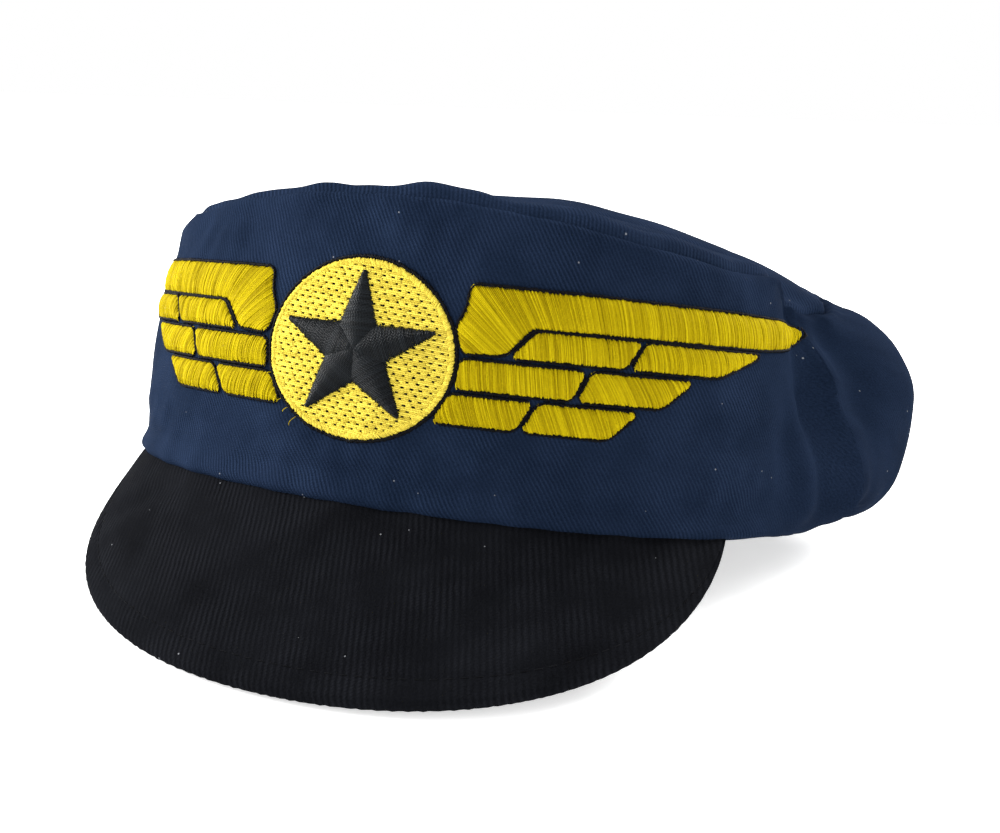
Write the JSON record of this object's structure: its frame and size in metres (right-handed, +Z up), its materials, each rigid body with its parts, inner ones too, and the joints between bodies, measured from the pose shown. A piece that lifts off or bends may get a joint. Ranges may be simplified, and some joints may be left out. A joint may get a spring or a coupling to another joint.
{
  "type": "peaked cap",
  "caption": "Soft peaked cap with a stiff embroidered front panel, a full soft back, a flat top and a covered visor that flexes.",
  "frame": {"origin": "on the table under the middle of the cap's box; the cap rests on its visor edge and the soft back", "axes": "+X to the wearer's left across the cap's width, which is its longest extent; +Y towards the back, the visor points to -Y; +Z up from the table"},
  "size_m": [0.248, 0.2416, 0.1037],
  "materials": {
    "navy_twill": "brushed cotton twill",
    "black_twill": "cotton twill",
    "lining": "plain woven",
    "sweatband_twill": "cotton tape",
    "seam_tape": "woven tape",
    "stiffener": "bonded interlining",
    "elastic": "ribbed elastic",
    "label_satin": "satin",
    "yellow_thread": "satin stitch",
    "black_thread": "satin stitch",
    "visor_board": "matt"
  },
  "bodies": {
    "crown": {"crown_top": "navy_twill", "front_panel": "navy_twill", "back_panel": "navy_twill", "front_stiffener": "stiffener", "side_lining": "lining", "top_lining": "lining", "top_seam_tape": "seam_tape", "side_seam_tape_left": "seam_tape", "side_seam_tape_right": "seam_tape", "sweatband": "sweatband_twill", "back_elastic": "elastic", "care_label": "label_satin", "badge_outline": "black_thread", "badge_disc": "yellow_thread", "badge_star": "black_thread", "wing_outline_left": "black_thread", "wing_outline_right": "black_thread", "feather_left_1": "yellow_thread", "feather_left_2": "yellow_thread", "feather_left_3": "yellow_thread", "feather_left_4": "yellow_thread", "feather_left_5": "yellow_thread", "feather_left_6": "yellow_thread", "feather_left_7": "yellow_thread", "feather_right_1": "yellow_thread", "feather_right_2": "yellow_thread", "feather_right_3": "yellow_thread", "feather_right_4": "yellow_thread", "feather_right_5": "yellow_thread", "feather_right_6": "yellow_thread", "feather_right_7": "yellow_thread"},
    "visor": {"visor_top_cover": "black_twill", "visor_under_cover": "black_twill", "visor_board": "visor_board", "visor_topstitch": "black_thread"}
  },
  "joints": [
    {"name": "visor_flex", "type": "hinge", "parent": "crown", "child": "visor", "pos_m": [0, -0.0785, 0.031], "axis": [-1, 0, 0], "range_deg": [-5, 15], "stiffness_Nm_per_rad": 0.8}
  ]
}
